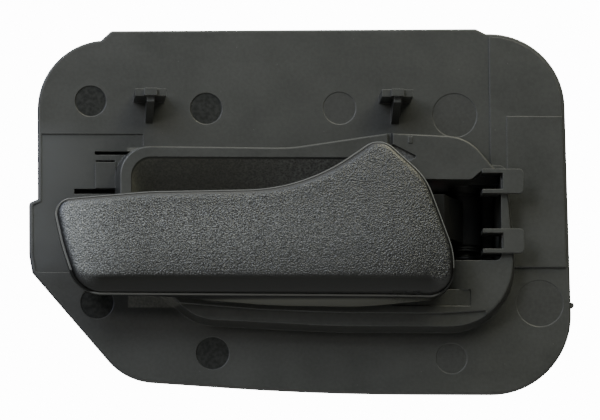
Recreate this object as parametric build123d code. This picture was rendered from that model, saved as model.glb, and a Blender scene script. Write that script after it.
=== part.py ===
from build123d import *
import math
import os

# Interior release handle of a left-hand car door, in millimetres.
# X runs along the plate, towards the hinge. Z is up. -Y faces the person who pulls the lever,
# and +Y goes into the door. The origin is the middle of the plate, on the rear face of the foam
# seal, which seats on the door's inner panel. Sketches lie in the XZ plane, as seen from the
# cabin, and "height" is a distance in front of the plate's front face.

# ---- plate and seal ----
SEAL_T = 3.0
PLATE_T = 2.5
FRONT_Y = -(SEAL_T + PLATE_T)
PLATE_EDGE_R = 0.7
PLATE_RIM = 1.2
SEAL_EDGE = 2.5
SEAL_W = 6.5

# ---- collar, finger cup and hinge well ----
COLLAR_H = 8.0
COLLAR_DRAFT = 8.0
COLLAR_EDGE_R = 0.6
WALL = 2.2
CUP_DEPTH = 19.0
CUP_RUN = {"left": 12.0, "top": 22.0, "right": 46.0, "bottom": 12.0}
CUP_PROFILE = ((0.0, 0.0), (0.35, 0.42), (0.62, 0.72), (0.85, 0.93), (1.0, 1.0))
CUP_CORNER_LOSS = 0.78
WELL_SIDE_X = (38.0, 63.5)
WELL_Z = (-17.0, 9.2)
WELL_MOUTH_H = -2.0
WELL_REAR_Y = 15.0
SHELF_X = 33.2
SHELF_Y = 6.0
ARM_WINDOW_X = 58.0
ARM_WINDOW_Z = (-6.0, 2.0)

# ---- hinge ----
HINGE_X = 53.0
HINGE_Y = 5.0
PIN_R = 2.0
PIN_RUNNING_GAP = 0.04
PIN_Z = (-20.8, 11.5)
PIN_HEAD_R = 3.2
PIN_HEAD_T = 1.4
RETAINER_R = 4.6
RETAINER_T = 0.8
RETAINER_NOTCHES = 3
HUB_R = 6.0
HUB_Z = (-10.0, 6.0)
BOSS_R = 5.0
BUSH_R = 3.2
BUSH_FLANGE_R = 5.4
BUSH_FLANGE_T = 1.0
BUSH_LENGTH = 6.0
WASHER_T = 0.8
WASHER_R = 5.2
END_PLAY = 0.08
SPRING_WIRE_R = 0.6
SPRING_COIL_R = 4.9
SPRING_POST_R = 3.8
SPRING_TURNS = 2.25
SPRING_PITCH = 1.28
SPRING_LEG = 7.0
SPRING_ANCHOR_R = 0.9

# ---- lever ----
LEVER_REAR_H = 10.6
LEVER_WALL = 2.0
LEVER_FIT = 0.12
FACE_EDGE_R = 1.4
FACE_SKIRT_H = (13.2, 10.6)
FACE_SKIRT_X = (-52.0, -6.0)
BELLY_X = (-50.0, 40.0)
BELLY_Z = (-29.6, -30.3)
BELLY_OUT = 2.4
BELLY_TOP_H = 16.5
COVER_T = 2.0
COVER_WALL = 1.5
COVER_WALL_H = 15.0
COVER_EDGE_R = 1.0
CORE_INSET = LEVER_WALL + 2 * LEVER_FIT + COVER_WALL
NECK_Z = (-9.5, 4.0)
NECK_GAP = 0.4
ARM_REACH = 25.0
ARM_W = 6.0
ARM_Z = (-4.0, 0.0)
ARM_HOLE_R = 2.5
BEAM_Z = (-21.0, -2.5)
BEAM_X = (-69.0, 42.0)
BEAM_POCKET_X = (-44.0, -30.0, -2.0, 12.0)
BEAM_POCKET_W = 9.0
BEAM_POCKET_DEEP = 3.2
SCREW_PLACES = ((-58.0, -12.0), (-16.0, -12.0), (26.0, -12.0))
SCREW_R = 1.3
SCREW_HEAD_R = 2.5
SCREW_HEAD_T = 1.1
SCREW_LENGTH = 4.6
SCREW_DRIVE_R = 1.1
SCREW_DRIVE_T = 0.7

# ---- rod clip on the rear arm ----
CLIP_PLUG_GAP = 0.06
CLIP_BODY_X = 12.0
CLIP_BODY_Y = 8.0
CLIP_BODY_Z = (-12.2, -4.1)
CLIP_CAP_R = 3.6
CLIP_CAP_T = 1.0
CLIP_EDGE_R = 1.2
ROD_BORE_R = 2.1
ROD_Z = -8.0

# ---- rubber buffers ----
REST_BUFFER_X = 35.6
REST_BUFFER_PLACES = (-7.0, 1.5)
REST_BUFFER_R = 1.7
REST_BUFFER_GAP = 0.12
REST_BUFFER_STAND = 2.6
REST_STEM_R = 0.85
REST_HOLE_R = 0.9
STOP_BUFFER_W = 3.9
STOP_BUFFER_GAP = 0.05

# ---- panel tabs and their steel clips ----
TAB_T = 2.0
TAB_W = 9.0
TAB_END_Y = 9.5
TAB_PLACES = ((-46.0, 45.0), (46.0, 45.0), (10.0, -45.5))
PANEL_CLIP_W = 7.0
PANEL_CLIP_T = 0.5

# ---- small moulded features on the plate ----
POST_H = 13.0
POST_X = (-48.8, 30.3)
POST_Z = 36.5
POST_WING = 10.0
POST_BAR_T = 2.4
POST_WEB_T = 2.4
POST_FOOT_Z = 28.4
POST_HEAD_W = 4.0
POST_STEP = 1.4
POST_WEB_LIP = 3.0
HOOK_H = (2.0, 9.6)
HOOK_TAB_H = (7.6, 9.6)
HOOK_ARM_X = 57.4
HOOK_TAB_X = (64.0, 70.6)
HOOK_ARM_T = 1.3
HOOK_CORNER = 1.4
HOOK_Z = ((12.4, 4.5), (-7.0, -14.8))
TONGUE_POCKET = ((-73.6, -52.5), (4.8, 20.2))
POCKET_DEPTH = 1.4
POCKET_WALL = 0.8
TONGUE = ((-66.1, -59.5), (7.3, 15.8))
TONGUE_H = 0.1
TONGUE_SLOTS = (((-66.2, -54.0), (18.2, 19.3)), ((-65.9, -59.8), (15.8, 16.4)), ((-72.8, -59.8), (5.5, 7.1)))
RECESS = ((-90.0, -50.7), (-20.0, 24.9))
RECESS_DEEP = 0.4
PADS = ((((61.0, 90.0), (-18.0, 60.0)), 0.5), (((66.3, 90.0), (-18.0, 31.0)), 0.75))
BAND_RIB = ((33.9, 35.2), (20.9, 23.0))
BAND_RIB_H = 0.2
MARK_DEEP = 0.3
MARK_FAINT = 0.12
MARKS = ((-67.5, 35.6, 5.0, MARK_DEEP), (-30.4, 33.3, 5.1, MARK_DEEP), (12.5, 33.6, 5.3, MARK_FAINT),
         (49.6, 31.4, 7.2, MARK_FAINT), (-65.6, -29.7, 5.3, MARK_DEEP), (-28.8, -46.0, 5.3, MARK_DEEP),
         (47.7, -47.6, 5.0, MARK_FAINT), (76.3, -29.7, 7.6, MARK_FAINT))

# ---- outlines as x, z and corner radius ----
PLATE = ((-84.5, 55.6, 22.6), (40.0, 55.6, 0), (40.0, 58.2, 0), (84.9, 58.2, 24.0), (86.8, -59.2, 26.0),
         (5.0, -59.0, 900.0), (-56.6, -54.8, 20.0), (-86.3, -19.9, 0.8), (-87.3, -14.2, 8.0),
         (-87.3, 2.6, 1.2), (-84.5, 3.8, 0))
PLATE_TOP = ((-64.0, 50.0, 0), (-64.0, 55.6, 0), (-60.8, 58.6, 1.5), (56.8, 59.8, 1.5), (60.0, 58.2, 0),
             (60.0, 50.0, 0))
SEAL_OUTER = ((-82.0, 53.1, 20.0), (82.4, 55.7, 21.5), (84.2, -56.6, 23.5), (5.0, -56.4, 900.0),
              (-55.4, -52.4, 17.5), (-84.2, -18.6, 5.0), (-82.0, 2.0, 10.0))
NUB = (86.5, -30.2, 0.9)
COLLAR = ((-58.6, 19.8, 9.5), (-4.0, 19.3, 60.0), (28.0, 24.2, 12.0), (53.0, 23.0, 14.0),
          (65.4, 8.0, 14.0), (67.2, -14.0, 40.0), (67.2, -38.2, 20.5), (10.0, -38.1, 300.0),
          (-33.5, -35.9, 16.0), (-58.6, -16.0, 22.0))
CUP_MIN = (-55.0, -31.0)
CUP_MAX = (30.6, 16.2)
CUP_TOP_LEFT = 16.3
CUP_CORNERS = (6.5, 5.0, 8.0, 30.0)
CUP_TIP = ((22.0, 17.2, 0), (29.0, 20.6, 1.0), (36.8, 16.6, 0.5), (30.0, 12.6, 0.5), (22.0, 12.0, 0))
CUP_TIP_DEPTH = 2.5
CUP_TIP_FLOOR = ((24.0, 38.0), (11.0, 20.5))
CUP_MIN_R = 3.0
MOUTH = ((SHELF_X, WELL_Z[1], 2.0), (54.0, WELL_Z[1], 2.0), (57.0, 11.8, 0.8), (WELL_SIDE_X[1], 11.8, 0.8),
         (WELL_SIDE_X[1], WELL_Z[0], 2.0), (SHELF_X, WELL_Z[0], 2.0))
SEAT = ((-62.0, -29.0, 0), (-34.8, -31.3, 60.0), (-13.8, -33.0, 60.0), (10.8, -34.0, 200.0),
        (44.0, -34.1, 60.0), (58.0, -33.2, 0), (62.0, -46.0, 0), (-62.0, -46.0, 0))
SEAT_DEEP = 0.8
SHALLOW_STEP = ((28.0, 53.4), (-31.8, -26.4))
SHALLOW_DEEP = 0.35
RAMP_X = (43.0, 52.5)
RAMP_Z = (-26.4, -16.9)
RAMP_R = 9.0
RAMP_LOW_H = 3.5
NOTCH = ((27.2, 6.4), (28.4, 6.4), (29.4, 9.0), (27.2, 9.0))
NOTCH_Z = (19.7, 26.0)
LEVER = ((-80.8, 1.0, 5.0), (-50.0, 3.4, 90.0), (-1.1, 4.0, 58.0), (23.9, 21.2, 7.0), (38.5, 7.4, 20.0),
         (47.4, -17.0, 24.0), (46.8, -30.5, 8.0), (-72.6, -29.4, 11.0), (-77.6, -14.0, 60.0))

# Front of the lever along its length: x, height at the crown, fall at the lower and upper edges.
CROWN = ((-84.0, 16.2, 4.6, 1.6), (-76.0, 17.6, 4.4, 1.4), (-55.0, 18.9, 4.2, 1.2), (-20.0, 20.9, 4.4, 1.2),
         (10.0, 23.0, 4.8, 2.2), (32.0, 24.2, 5.4, 3.0), (50.0, 22.4, 6.0, 3.4))
CROWN_Z = (-34.0, -26.5, -17.0, -6.0, 24.0)
CROWN_TUCK = 4.0

OUT = "parts"
os.makedirs(OUT, exist_ok=True)


def outline(corners):
    """A closed face from corners given as x, z and corner radius."""
    points = [(x, z) for x, z, _ in corners]
    radii = [r for _, _, r in corners]
    return make_face(FilletPolyline(*points, radius=radii, close=True).edges())


def cabin_plane(height):
    """The sketch plane that faces the cabin, at a height in front of the plate."""
    return Plane(origin=(0, FRONT_Y - height, 0), x_dir=(1, 0, 0), z_dir=(0, -1, 0))


def height_y(height):
    """The place along Y of a height in front of the plate."""
    return FRONT_Y - height


def raise_from(sketch, low, high, taper=0.0):
    """Extrude a sketch from one height to another."""
    return extrude(cabin_plane(low) * sketch, amount=high - low, taper=taper)


def block(x, y, z):
    """A box from its limits along each axis."""
    size = (abs(x[1] - x[0]), abs(y[1] - y[0]), abs(z[1] - z[0]))
    centre = ((x[0] + x[1]) / 2, (y[0] + y[1]) / 2, (z[0] + z[1]) / 2)
    return Pos(*centre) * Box(*size)


def rect(x, z):
    """A rectangle in the sketch plane from its limits."""
    centre = ((x[0] + x[1]) / 2, (z[0] + z[1]) / 2)
    return Pos(*centre) * Rectangle(abs(x[1] - x[0]), abs(z[1] - z[0]))


def upright(x, y, radius, z):
    """A cylinder that stands along Z."""
    return Pos(x, y, (z[0] + z[1]) / 2) * Cylinder(radius, abs(z[1] - z[0]))


def along_y(x, z, radius, y):
    """A cylinder that lies along Y."""
    return Pos(x, (y[0] + y[1]) / 2, z) * Rot(90, 0, 0) * Cylinder(radius, abs(y[1] - y[0]))


def hinge_post(radius, z):
    """A cylinder on the hinge's axis."""
    return upright(HINGE_X, HINGE_Y, radius, z)


# ---- housing ----

def plate():
    """The thin plate with its rounded front edge, recess, pads and ejector marks."""
    shape = raise_from(outline(PLATE) + outline(PLATE_TOP), -PLATE_T, 0)
    shape = fillet(shape.faces().sort_by(Axis.Y)[0].edges(), PLATE_EDGE_R)
    nub_x, nub_z, nub_r = NUB
    shape += along_y(nub_x, nub_z, nub_r, (FRONT_Y + PLATE_EDGE_R, -SEAL_T))
    inner = offset(outline(PLATE), amount=-PLATE_RIM)
    shape -= raise_from(inner & rect(*RECESS), -RECESS_DEEP, 1)
    for limits, height in PADS:
        shape += raise_from(inner & rect(*limits), -1, height)
    for x, z, radius, depth in MARKS:
        shape -= raise_from(Pos(x, z) * Circle(radius), -depth, 2)
    return shape


def cup_section(run, depth, grow):
    """The finger cup's outline at a share of its side runs and of its depth."""
    left, top, right, bottom = [CUP_RUN[side] * run - grow for side in ("left", "top", "right", "bottom")]
    x0, z0 = CUP_MIN[0] + left, CUP_MIN[1] + bottom
    x1, z1 = CUP_MAX[0] - right, CUP_MAX[1] - top
    corners = [(x0, CUP_TOP_LEFT - top), (x1, z1), (x1, z0), (x0, z0)]
    radii = [max(r * (1 - CUP_CORNER_LOSS * run), CUP_MIN_R) + grow for r in CUP_CORNERS]
    height = COLLAR_H - depth * (CUP_DEPTH + grow)
    return cabin_plane(height) * outline([(x, z, r) for (x, z), r in zip(corners, radii)])


def cup_solid(grow):
    """The bowl of the finger cup, or its outside when grown by the wall."""
    return loft([cup_section(run, depth, grow) for run, depth in CUP_PROFILE])


def well_solid(grow):
    """The hinge well's hollow, or its outside when grown by the wall."""
    mouth = offset(outline(MOUTH), amount=grow) if grow else outline(MOUTH)
    z = (WELL_Z[0] - grow, WELL_Z[1] + grow)
    top = COLLAR_H - (1 if grow else -1)
    shape = raise_from(mouth, WELL_MOUTH_H - grow, top)
    shape += block((SHELF_X - grow, WELL_SIDE_X[1] + grow), (FRONT_Y, SHELF_Y + grow), z)
    shape += block((WELL_SIDE_X[0] - grow, WELL_SIDE_X[1] + grow), (FRONT_Y, WELL_REAR_Y + grow), z)
    return shape


def collar():
    """The raised collar before it is hollowed."""
    face = outline(COLLAR)
    shape = extrude(cabin_plane(COLLAR_H) * face, amount=-COLLAR_H - PLATE_T / 2, taper=-COLLAR_DRAFT)
    return fillet(shape.faces().sort_by(Axis.Y)[0].edges(), COLLAR_EDGE_R)


def bezel_seat(shape):
    """The collar with its lowered lower band, shallow step, curved ramp and sloping notch."""
    shape -= raise_from(outline(SEAT), COLLAR_H - SEAT_DEEP, COLLAR_H + 1)
    shape -= raise_from(rect(*SHALLOW_STEP), COLLAR_H - SHALLOW_DEEP, COLLAR_H + 1)
    backing = rect(RAMP_X, (RAMP_Z[0] - WALL / 2, RAMP_Z[1]))
    shape += raise_from(backing, RAMP_LOW_H - WALL, COLLAR_H - SEAT_DEEP)
    ramp = raise_from(rect(RAMP_X, RAMP_Z), RAMP_LOW_H, COLLAR_H + 1)
    shape -= ramp - upright(RAMP_X[1], height_y(COLLAR_H - RAMP_R), RAMP_R, (RAMP_Z[0] - 1, RAMP_Z[1] + 1))
    notch = Polyline(*[(x, height_y(height)) for x, height in NOTCH], close=True)
    base = Plane(origin=(0, 0, NOTCH_Z[0]))
    return shape - extrude(base * make_face(notch.edges()), amount=NOTCH_Z[1] - NOTCH_Z[0])


def bezel_hook(z_high, z_low):
    """A hook that the trim bezel clips over: two ribs across the well and a rounded tab."""
    tab = outline(((HOOK_TAB_X[0], z_high, 0), (HOOK_TAB_X[1], z_high, HOOK_CORNER),
                   (HOOK_TAB_X[1], z_low, HOOK_CORNER), (HOOK_TAB_X[0], z_low, 0)))
    shape = raise_from(tab, *HOOK_TAB_H)
    for z in (z_high - HOOK_ARM_T, z_low):
        arm = rect((HOOK_ARM_X, HOOK_TAB_X[0] + 1), (z, z + HOOK_ARM_T))
        shape += raise_from(arm, *HOOK_H)
    return shape


def trim_post(x):
    """A T-shaped post with a sloped web under its bar."""
    bar_z = (POST_Z - POST_BAR_T / 2, POST_Z + POST_BAR_T / 2)
    wing_h = POST_H - POST_STEP
    shape = raise_from(rect((x - POST_WING / 2, x + POST_WING / 2), bar_z), -1, wing_h)
    shape += raise_from(rect((x - POST_HEAD_W / 2, x + POST_HEAD_W / 2), bar_z), -1, POST_H)
    side = Plane(origin=(x, 0, 0), x_dir=(0, -1, 0), z_dir=(-1, 0, 0))
    low = -FRONT_Y
    web = Polyline((low - 1, POST_FOOT_Z), (low - 1, POST_Z), (low + wing_h, POST_Z),
                   (low + wing_h, POST_Z - POST_WEB_LIP), (low, POST_FOOT_Z), close=True)
    shape += extrude(side * make_face(web.edges()), amount=POST_WEB_T / 2, both=True)
    return shape


def panel_tab(x, z):
    """A flat tab behind the plate that passes through a slot in the door's inner panel."""
    tab = block((x - TAB_W / 2, x + TAB_W / 2), (FRONT_Y + 1, TAB_END_Y), (z - TAB_T / 2, z + TAB_T / 2))
    return chamfer(tab.faces().sort_by(Axis.Y)[-1].edges(), 0.5)


def housing():
    """The whole housing moulding."""
    shape = plate() + collar()
    hollow = offset(outline(COLLAR), amount=-WALL)
    shape -= raise_from(hollow, -PLATE_T - 1, COLLAR_H - WALL)
    # The closed pocket behind the snap tongue.
    pocket_floor = -PLATE_T - POCKET_DEPTH
    pocket_wall = offset(rect(*TONGUE_POCKET), amount=POCKET_WALL)
    shape += raise_from(pocket_wall, pocket_floor - POCKET_WALL, -PLATE_T + 0.1)
    shape -= raise_from(rect(*TONGUE_POCKET), pocket_floor, -PLATE_T)
    shape += cup_solid(WALL)
    shape += well_solid(WALL)
    for x in POST_X:
        shape += trim_post(x)
    for z_high, z_low in HOOK_Z:
        shape += bezel_hook(z_high, z_low)
    for x, z in TAB_PLACES:
        shape += panel_tab(x, z)
    tip_floor = COLLAR_H - CUP_TIP_DEPTH
    shape += raise_from(rect(*CUP_TIP_FLOOR), tip_floor - WALL, COLLAR_H - 1)
    shape -= cup_solid(0)
    shape -= raise_from(outline(CUP_TIP), tip_floor, COLLAR_H + 1)
    hooks = bezel_hook(*HOOK_Z[0]) + bezel_hook(*HOOK_Z[1])
    shape -= well_solid(0) - hooks
    shape = bezel_seat(shape)
    shape += block((REST_BUFFER_X - 2.4, WELL_SIDE_X[0]), (SHELF_Y, SHELF_Y + WALL), WELL_Z)
    # Bearing bosses and the spring's post.
    shape += hinge_post(BOSS_R, (HUB_Z[1] + BUSH_FLANGE_T + END_PLAY, WELL_Z[1] + 1))
    spring_top = HUB_Z[0] - BUSH_FLANGE_T - WASHER_T - 3 * END_PLAY
    shape += hinge_post(SPRING_POST_R, (WELL_Z[0] - 1, spring_top))
    shape += upright(*spring_anchor(), SPRING_ANCHOR_R, (WELL_Z[0] - 1, WELL_Z[0] + 3))
    shape -= hinge_post(PIN_R + PIN_RUNNING_GAP, (WELL_Z[0] - 10, WELL_Z[1] + 10))
    shape -= block((WELL_SIDE_X[0], ARM_WINDOW_X), (WELL_REAR_Y - 1, WELL_REAR_Y + WALL + 1), ARM_WINDOW_Z)
    for z in REST_BUFFER_PLACES:
        shape -= along_y(REST_BUFFER_X, z, REST_HOLE_R, (SHELF_Y - 1, SHELF_Y + WALL + 1))
    # Slots that free the snap tongue, and its raised pad.
    shape += raise_from(rect(*TONGUE), -1, TONGUE_H)
    for limits in TONGUE_SLOTS:
        shape -= raise_from(rect(*limits), -PLATE_T - 1, 1)
    # A short rib on the collar's band beside the lever's peak.
    return shape + raise_from(rect(*BAND_RIB), COLLAR_H - 0.5, COLLAR_H + BAND_RIB_H)


# ---- lever ----

def crown_body(inset):
    """A long body whose front is the lever's crowned surface, moved back by an inset."""
    sections = []
    for x, height, fall_low, fall_high in CROWN:
        z0, z1, z2, z3, z4 = CROWN_Z
        low = -FRONT_Y
        top = low + height - inset
        front = Spline((top - fall_low - CROWN_TUCK, z0), (top - fall_low * 0.55, z1),
                       (top - fall_low * 0.1, z2), (top, z3), (top - fall_high, z4))
        back = Polyline(front @ 1, (low, z4), (low, z0), front @ 0)
        side = Plane(origin=(x, 0, 0), x_dir=(0, -1, 0), z_dir=(-1, 0, 0))
        sections.append(side * make_face(front.edges() + back.edges()))
    return loft(sections)


def lever_solid(inset, low, high=40.0):
    """The lever's outer shape, moved in by an inset and cut off at a rear height."""
    face = offset(outline(LEVER), amount=-inset) if inset else outline(LEVER)
    return raise_from(face, low, high) & crown_body(inset)


def skirt_cut():
    """What is cut off the rear of the face, whose side wall is shallow at the free end."""
    low = -FRONT_Y
    shallow, deep = -low - FACE_SKIRT_H[0], -low - FACE_SKIRT_H[1]
    top = Polyline((-90, -1), (-90, shallow), (FACE_SKIRT_X[0], shallow), (FACE_SKIRT_X[1], deep), (60, deep),
                   (60, -1), close=True)
    return extrude(make_face(top.edges()), amount=60, both=True)


def lever_belly():
    """The lower side wall's outward lean, which is widest under the middle of the lever."""
    sections = []
    for height, out in ((LEVER_REAR_H - 1, BELLY_OUT), (BELLY_TOP_H, 0.02)):
        middle = sum(BELLY_X) / 2
        edge = Spline((BELLY_X[0], BELLY_Z[0]), (middle, sum(BELLY_Z) / 2 - out), (BELLY_X[1], BELLY_Z[1]),
                      tangents=[(1, 0), (1, 0)])
        back = Polyline(edge @ 1, (BELLY_X[1], BELLY_Z[1] + LEVER_WALL + 1),
                        (BELLY_X[0], BELLY_Z[1] + LEVER_WALL + 1), edge @ 0)
        sections.append(cabin_plane(height) * make_face(edge.edges() + back.edges()))
    return loft(sections, ruled=True)


def lever_face():
    """The grained front shell."""
    outer = lever_solid(0, LEVER_REAR_H - 1)
    outer = fillet(outer.faces().sort_by(Axis.Y)[0].edges(), FACE_EDGE_R)
    outer += lever_belly()
    return outer - skirt_cut() - lever_solid(LEVER_WALL, LEVER_REAR_H - 3)


def lever_back_cover():
    """The smooth tray that closes the lever's finger side."""
    inset = LEVER_WALL + LEVER_FIT
    outer = lever_solid(inset, LEVER_REAR_H, COVER_WALL_H)
    outer = fillet(outer.faces().sort_by(Axis.Y)[-1].edges(), COVER_EDGE_R)
    inner = lever_solid(inset + COVER_WALL, LEVER_REAR_H + COVER_T, COVER_WALL_H + 1)
    shape = outer - inner - neck(NECK_GAP)
    for x, z in SCREW_PLACES:
        shape -= along_y(x, z, SCREW_R + 0.15, (height_y(LEVER_REAR_H - 1), height_y(LEVER_REAR_H + 5)))
        shape -= along_y(x, z, SCREW_HEAD_R + 0.15,
                         (height_y(LEVER_REAR_H - 1), height_y(LEVER_REAR_H + SCREW_HEAD_T)))
    return shape


def neck(grow):
    """The neck from the hub to the beam, narrowed where it enters the lever."""
    front = height_y(LEVER_REAR_H + COVER_T + 1.5)
    rear = SHELF_Y - REST_BUFFER_STAND
    points = Polyline((34.2 - grow, rear), (38.5, rear), (50.0, SHELF_Y), (52.4, HINGE_Y - 5.6),
                      (47.4 + grow, -10.0), (43.5 + grow, front), (34.2 - grow, front), close=True)
    base = Plane(origin=(0, 0, NECK_Z[0] - grow))
    whole = extrude(base * make_face(points.edges()), amount=NECK_Z[1] - NECK_Z[0] + 2 * grow)
    behind = block((0, 90), (height_y(LEVER_REAR_H - 0.4), 20), (-50, 50))
    return (whole & behind) + (whole & lever_solid(CORE_INSET - grow, LEVER_REAR_H - 1))


def lever_core():
    """The stiff beam, neck, hub and rear arm in one moulding."""
    rear = LEVER_REAR_H + COVER_T + LEVER_FIT
    beam = lever_solid(CORE_INSET, rear) & block(BEAM_X, (0, height_y(40)), BEAM_Z)
    for x in BEAM_POCKET_X:
        beam -= block((x - BEAM_POCKET_W / 2, x + BEAM_POCKET_W / 2),
                      (height_y(rear - 1), height_y(rear + BEAM_POCKET_DEEP)), (BEAM_Z[0] + 3, BEAM_Z[1] - 3))
    arm_end = HINGE_Y + ARM_REACH
    shape = beam + neck(0) + hinge_post(HUB_R, HUB_Z)
    shape += block((HINGE_X - ARM_W / 2, HINGE_X + ARM_W / 2), (HINGE_Y, arm_end), ARM_Z)
    shape += upright(HINGE_X, arm_end, ARM_W / 2 + 1.5, ARM_Z)
    shape -= upright(HINGE_X, arm_end, ARM_HOLE_R, (ARM_Z[0] - 1, ARM_Z[1] + 1))
    shape -= hinge_post(BUSH_R + 0.02, (HUB_Z[0] - 1, HUB_Z[1] + 1))
    for x, z in SCREW_PLACES:
        hole_end = height_y(LEVER_REAR_H + SCREW_LENGTH + 0.4)
        shape -= along_y(x, z, SCREW_R + 0.02, (height_y(rear - 1), hole_end))
    shape -= upright(*spring_catch(), SPRING_WIRE_R + 0.25, (NECK_Z[0] - 1, NECK_Z[0] + 4))
    return shape


def lever_screw(x, z):
    """A self-tapping screw that goes in from the finger side."""
    head_y = (height_y(LEVER_REAR_H + 0.1), height_y(LEVER_REAR_H + SCREW_HEAD_T))
    head = along_y(x, z, SCREW_HEAD_R, head_y)
    head -= along_y(x, z, SCREW_DRIVE_R, (head_y[0] + 1, head_y[0] - SCREW_DRIVE_T))
    shank = along_y(x, z, SCREW_R, (head_y[1] + 0.2, height_y(LEVER_REAR_H + SCREW_LENGTH)))
    return head + shank


# ---- hinge hardware ----

def hub_bush(seat_z, inward):
    """A flanged bush in one end of the hub."""
    tube = hinge_post(BUSH_R, (seat_z, seat_z + inward * BUSH_LENGTH))
    flange = hinge_post(BUSH_FLANGE_R, (seat_z, seat_z - inward * BUSH_FLANGE_T))
    bore = hinge_post(PIN_R + PIN_RUNNING_GAP, (seat_z - 10, seat_z + 10))
    return tube + flange - bore


def hinge_pin():
    """The headed pin."""
    shank = hinge_post(PIN_R, PIN_Z)
    head = hinge_post(PIN_HEAD_R, (PIN_Z[1], PIN_Z[1] + PIN_HEAD_T))
    head = fillet(head.faces().sort_by(Axis.Z)[-1].edges(), 0.6)
    shank = chamfer(shank.faces().sort_by(Axis.Z)[0].edges(), 0.4)
    return shank + head


def pin_retainer():
    """The push-on ring under the well, notched round its grip."""
    top = WELL_Z[0] - WALL - 0.05
    ring = hinge_post(RETAINER_R, (top - RETAINER_T, top)) - hinge_post(PIN_R + 0.02, (top - 5, top + 5))
    for turn in range(RETAINER_NOTCHES):
        spot = Pos(HINGE_X, HINGE_Y, top) * Rot(0, 0, 360 * turn / RETAINER_NOTCHES)
        ring -= spot * Pos(PIN_R + 0.6, 0, 0) * Box(1.6, 0.7, 4 * RETAINER_T)
    return ring


def thrust_washer():
    """The washer under the lower bush."""
    top = HUB_Z[0] - BUSH_FLANGE_T - END_PLAY
    return hinge_post(WASHER_R, (top - WASHER_T, top)) - hinge_post(PIN_R + 0.1, (top - 5, top + 5))


def spring_catch():
    """Where the spring's upper leg hooks into the neck."""
    return HINGE_X - SPRING_COIL_R, HINGE_Y - SPRING_LEG


def spring_anchor():
    """Where the post stands that holds the spring's lower leg."""
    return HINGE_X + SPRING_LEG, HINGE_Y + SPRING_COIL_R + SPRING_WIRE_R + SPRING_ANCHOR_R + 0.05


def return_spring():
    """The torsion spring: a coil round its post, with one leg on the anchor and one in the neck."""
    bottom = WELL_Z[0] + SPRING_WIRE_R + 0.15
    centre = Pos(HINGE_X, HINGE_Y, bottom)
    coil = centre * Rot(0, 0, 90) * Helix(SPRING_PITCH, SPRING_TURNS * SPRING_PITCH, SPRING_COIL_R)
    start = Vector(HINGE_X, HINGE_Y + SPRING_COIL_R, bottom)
    end = coil @ 1
    lower_start = start + Vector(SPRING_LEG + 1.5, 0, 0)
    upper_bend = end + Vector(0, -SPRING_LEG, 0)
    upper_end = upper_bend + Vector(0, 0, NECK_Z[0] + 2.5 - end.Z)
    upper_leg = FilletPolyline(end, upper_bend, upper_end, radius=1.0)
    legs = [Wire([Line(lower_start, start).edge()]), coil, upper_leg]
    shape = Part()
    for leg in legs:
        section = Plane(origin=leg @ 0, z_dir=leg % 0) * Circle(SPRING_WIRE_R)
        shape += sweep(section, path=leg)
    for joint in (start, end):
        shape += Pos(joint) * Sphere(SPRING_WIRE_R)
    return shape


# ---- rod clip, buffers, panel clips and seal ----

def rod_clip():
    """The swivelling clip: plug through the arm, cap above it and the rod's block below."""
    y = HINGE_Y + ARM_REACH
    plug = upright(HINGE_X, y, ARM_HOLE_R - CLIP_PLUG_GAP, (CLIP_BODY_Z[1] - 1, ARM_Z[1] + 0.2))
    cap = upright(HINGE_X, y, CLIP_CAP_R, (ARM_Z[1] + 0.1, ARM_Z[1] + 0.1 + CLIP_CAP_T))
    body = block((HINGE_X - CLIP_BODY_X / 2, HINGE_X + CLIP_BODY_X / 2),
                 (y - CLIP_BODY_Y / 2, y + CLIP_BODY_Y / 2), CLIP_BODY_Z)
    body = fillet(body.edges().filter_by(Axis.X), CLIP_EDGE_R)
    bore = Pos(HINGE_X, y, ROD_Z) * Rot(0, 90, 0) * Cylinder(ROD_BORE_R, CLIP_BODY_X + 2)
    return body + plug + cap - bore


def rest_buffer(z):
    """A rubber buffer with a stem in the shelf behind the neck."""
    face_y = SHELF_Y - REST_BUFFER_STAND + REST_BUFFER_GAP
    head = along_y(REST_BUFFER_X, z, REST_BUFFER_R, (face_y, SHELF_Y - 0.02))
    stem = along_y(REST_BUFFER_X, z, REST_STEM_R, (SHELF_Y - 0.1, SHELF_Y + WALL + 0.4))
    return head + stem


def open_stop_buffer():
    """The rubber block that fills the far end of the arm's window."""
    x0 = WELL_SIDE_X[0] + STOP_BUFFER_GAP
    z = (ARM_WINDOW_Z[0] + 0.05, ARM_WINDOW_Z[1] - 0.05)
    return block((x0, x0 + STOP_BUFFER_W), (WELL_REAR_Y - 0.2, WELL_REAR_Y + WALL + 0.1), z)


def panel_clip(x, z):
    """A spring-steel clip bent over a tab, with a bulge that grips behind the panel."""
    outer = [(TAB_END_Y + 0.6, 0), (TAB_END_Y + 0.6, 1.55), (8.4, 1.6), (4.2, 3.0), (1.8, 1.8), (0.4, 1.8)]
    inner = [(0.4, 1.3), (2.0, 1.3), (4.2, 2.42), (8.2, 1.08), (TAB_END_Y + 0.1, 1.05), (TAB_END_Y + 0.1, 0)]
    side = Plane(origin=(x, 0, z), x_dir=(0, 1, 0), z_dir=(1, 0, 0))
    half = make_face(Polyline(*(outer + inner), close=True).edges())
    profile = half + mirror(half, about=Plane.XZ)
    return extrude(side * profile, amount=PANEL_CLIP_W / 2, both=True)


def foam_seal():
    """The foam ring between the plate and the door's inner panel."""
    outer = outline(SEAL_OUTER)
    return raise_from(outer - offset(outer, amount=-SEAL_W), -PLATE_T - SEAL_T, -PLATE_T)


def write(name, shape):
    """Write one sub-part as a STEP file."""
    export_step(shape, os.path.join(OUT, name + ".step"))
    print(name, round(shape.volume, 1), shape.is_valid, len(shape.solids()))


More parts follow.
